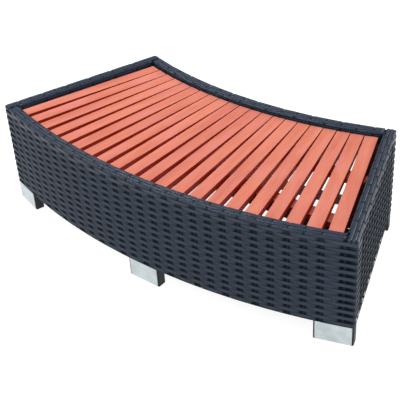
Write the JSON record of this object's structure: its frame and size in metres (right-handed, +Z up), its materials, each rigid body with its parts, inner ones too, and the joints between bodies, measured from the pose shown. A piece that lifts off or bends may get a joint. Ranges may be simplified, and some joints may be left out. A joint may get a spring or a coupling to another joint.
{
  "type": "curved spa step",
  "caption": "Curved one-tier step for a round spa tub: woven black skin on a steel frame, slatted red wooden deck, flat feet.",
  "frame": {"origin": "on the floor, under the middle of the step's bounding box", "axes": "+X along the step, +Y from the convex front to the concave open back, +Z up"},
  "size_m": [0.92, 0.4569, 0.25],
  "materials": {
    "black_steel": "satin black powder coat",
    "woven_strand": "flat extruded strand, woven, low sheen",
    "stained_wood": "red stain, sawn and lightly sanded",
    "black_plastic": "moulded, fine texture",
    "silver_plate": "satin silver with a bright edge",
    "zinc_screws": "bright zinc"
  },
  "bodies": {
    "root": {"batten_back": "stained_wood", "batten_front": "stained_wood", "bottom_rail_back": "black_steel", "bottom_rail_front": "black_steel", "bottom_rail_left": "black_steel", "bottom_rail_right": "black_steel", "cross_tube_screws": "zinc_screws", "deck_cross_tube": "black_steel", "deck_ledges": "black_steel", "foot_back_centre": "black_plastic", "foot_back_left": "black_plastic", "foot_back_right": "black_plastic", "foot_front_centre": "black_plastic", "foot_front_left": "black_plastic", "foot_front_right": "black_plastic", "foot_plates_back": "silver_plate", "foot_plates_front": "silver_plate", "foot_screws": "zinc_screws", "ledge_screws": "zinc_screws", "post_back_centre": "black_steel", "post_back_left": "black_steel", "post_back_right": "black_steel", "post_front_centre": "black_steel", "post_front_left": "black_steel", "post_front_right": "black_steel", "post_side_left": "black_steel", "post_side_right": "black_steel", "rim_wrap_back": "woven_strand", "rim_wrap_front": "woven_strand", "rim_wrap_left": "woven_strand", "rim_wrap_right": "woven_strand", "slat_01": "stained_wood", "slat_02": "stained_wood", "slat_03": "stained_wood", "slat_04": "stained_wood", "slat_05": "stained_wood", "slat_06": "stained_wood", "slat_07": "stained_wood", "slat_08": "stained_wood", "slat_09": "stained_wood", "slat_10": "stained_wood", "slat_11": "stained_wood", "slat_12": "stained_wood", "slat_13": "stained_wood", "slat_14": "stained_wood", "slat_15": "stained_wood", "slat_16": "stained_wood", "slat_17": "stained_wood", "slat_18": "stained_wood", "slat_19": "stained_wood", "slat_20": "stained_wood", "slat_21": "stained_wood", "slat_screws": "zinc_screws", "top_rail_back": "black_steel", "top_rail_front": "black_steel", "top_rail_left": "black_steel", "top_rail_right": "black_steel", "wicker_front": "woven_strand", "wicker_left": "woven_strand", "wicker_right": "woven_strand"}
  },
  "joints": []
}
